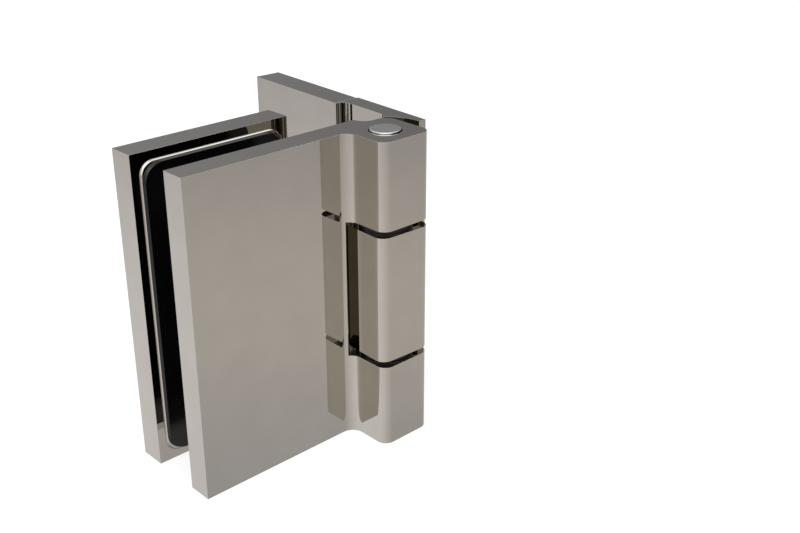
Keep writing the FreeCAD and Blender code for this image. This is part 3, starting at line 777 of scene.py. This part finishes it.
# Cover clips: two strips of bare spring steel, bent round the tongue's lower and upper edge. The
# cover's top and bottom walls snap over them.
spring = metal("spring_steel", (0.42, 0.42, 0.43), gloss=0.22, haze=0.1, marks=0.15, wander=5e-6)
clip_thick, clip_long, clip_leg = 0.5, 5.5, 3.0
clip_bend, clip_root, clip_play, clip_edge = 0.8, 0.3, 0.2, 0.05
clips = (("cover_clip_lower", inside_low, 1), ("cover_clip_upper", inside_high, -1))
for name, level, way in clips:
    strip = outline([
        (leaf_front - clip_thick, level, clip_bend),
        (leaf_front + clip_leg, level),
        (leaf_front + clip_leg, level + way * clip_thick),
        (leaf_front, level + way * clip_thick, clip_root),
        (leaf_front, level + way * clip_long),
        (leaf_front - clip_thick, level + way * clip_long),
    ], steps=10)
    near, far = hole_along - clip_half + clip_play, hole_along + clip_half - clip_play
    clip = wall(strip, near, far, 1, closed=True) + cap(strip, near, 1) + cap(strip, far, 1)
    make_piece(f"{name}_strip", clip, name, spring, clip_edge)


# Hinge pin: hardened and polished steel, with a round-edged head in the upper knuckle and a
# threaded hole in its foot for the end screw.
pin_steel = metal("pin_steel", (0.68, 0.68, 0.67), gloss=0.15, haze=0.03, marks=0.03, wander=5e-7)
pin_radius, pin_head, pin_top, pin_edge = 3.0, 3.45, 73.35, 0.13
thread_hole, thread_end = 1.52, 11.5
pin = bore(
    (thread_hole, thread_hole, pin_radius, pin_radius, pin_head, pin_head),
    (thread_end, foot_depth, foot_depth, head_seat, head_seat, pin_top), 2)
pin += cap(circle(pin_head), pin_top, 2) + cap(circle(thread_hole), thread_end, 2)
make_piece("hinge_pin_turned", pin, "hinge_pin", pin_steel, pin_edge)


# End screw and set screws: small socket screws that hold the pin from below and lock it in
# both outer knuckles.
end_sunk, end_bevel, end_shank, end_long = 0.2, 0.2, 1.5, 8.0
end_flats, end_socket, end_edge = 2.5, 1.5, 0.04
end_profile = (
    (pin_head - end_bevel, end_sunk), (pin_head, end_sunk + end_bevel), (pin_head, foot_depth),
    (end_shank, foot_depth), (end_shank, foot_depth + end_long),
)
end_screw = socket_screw(end_profile, end_flats, end_socket, -1, 2, (0, 0))
make_piece("pin_end_screw_turned", end_screw, "pin_end_screw", steel, end_edge)
set_radius, set_sunk, set_bevel, set_tip = 2.0, 0.4, 0.15, 0.3
set_flats, set_socket, set_edge = 2.0, 1.5, 0.03
set_profile = (
    (set_radius - set_bevel, knuckle - set_sunk), (set_radius, knuckle - set_sunk - set_bevel),
    (set_radius, pin_hole + set_tip), (set_radius - set_tip, pin_hole),
)
set_screws = []
for level in (knuckle_high / 2, height - knuckle_high / 2):
    set_screws += socket_screw(set_profile, set_flats, set_socket, 1, 0, (0, level))
make_piece("pin_set_screws_turned", set_screws, "pin_set_screws", steel, set_edge)


# Bushes and washers: slippery plastic bushes pressed into the middle knuckle, and a thrust
# washer in each gap between the knuckles.
acetal = moulded("bush_acetal", (0.010, 0.010, 0.010), gloss=0.35, grain=5e-6, shine=0.3)
bush_inner, bush_outer, washer_outer, washer_play, ring_edge = 3.05, 4.55, 6.0, 0.1, 0.1
rings = (
    ("bush_lower", bush_outer, middle_low, middle_low + bush_long),
    ("bush_upper", bush_outer, middle_high - bush_long, middle_high),
    ("washer_lower", washer_outer, knuckle_high + washer_play, middle_low),
    ("washer_upper", washer_outer, middle_high, upper - washer_play),
)
for name, outer, low, high in rings:
    ring = bore((bush_inner, outer, outer, bush_inner, bush_inner), (low, low, high, high, low), 2)
    make_piece(f"{name}_ring", ring, name, acetal, ring_edge)
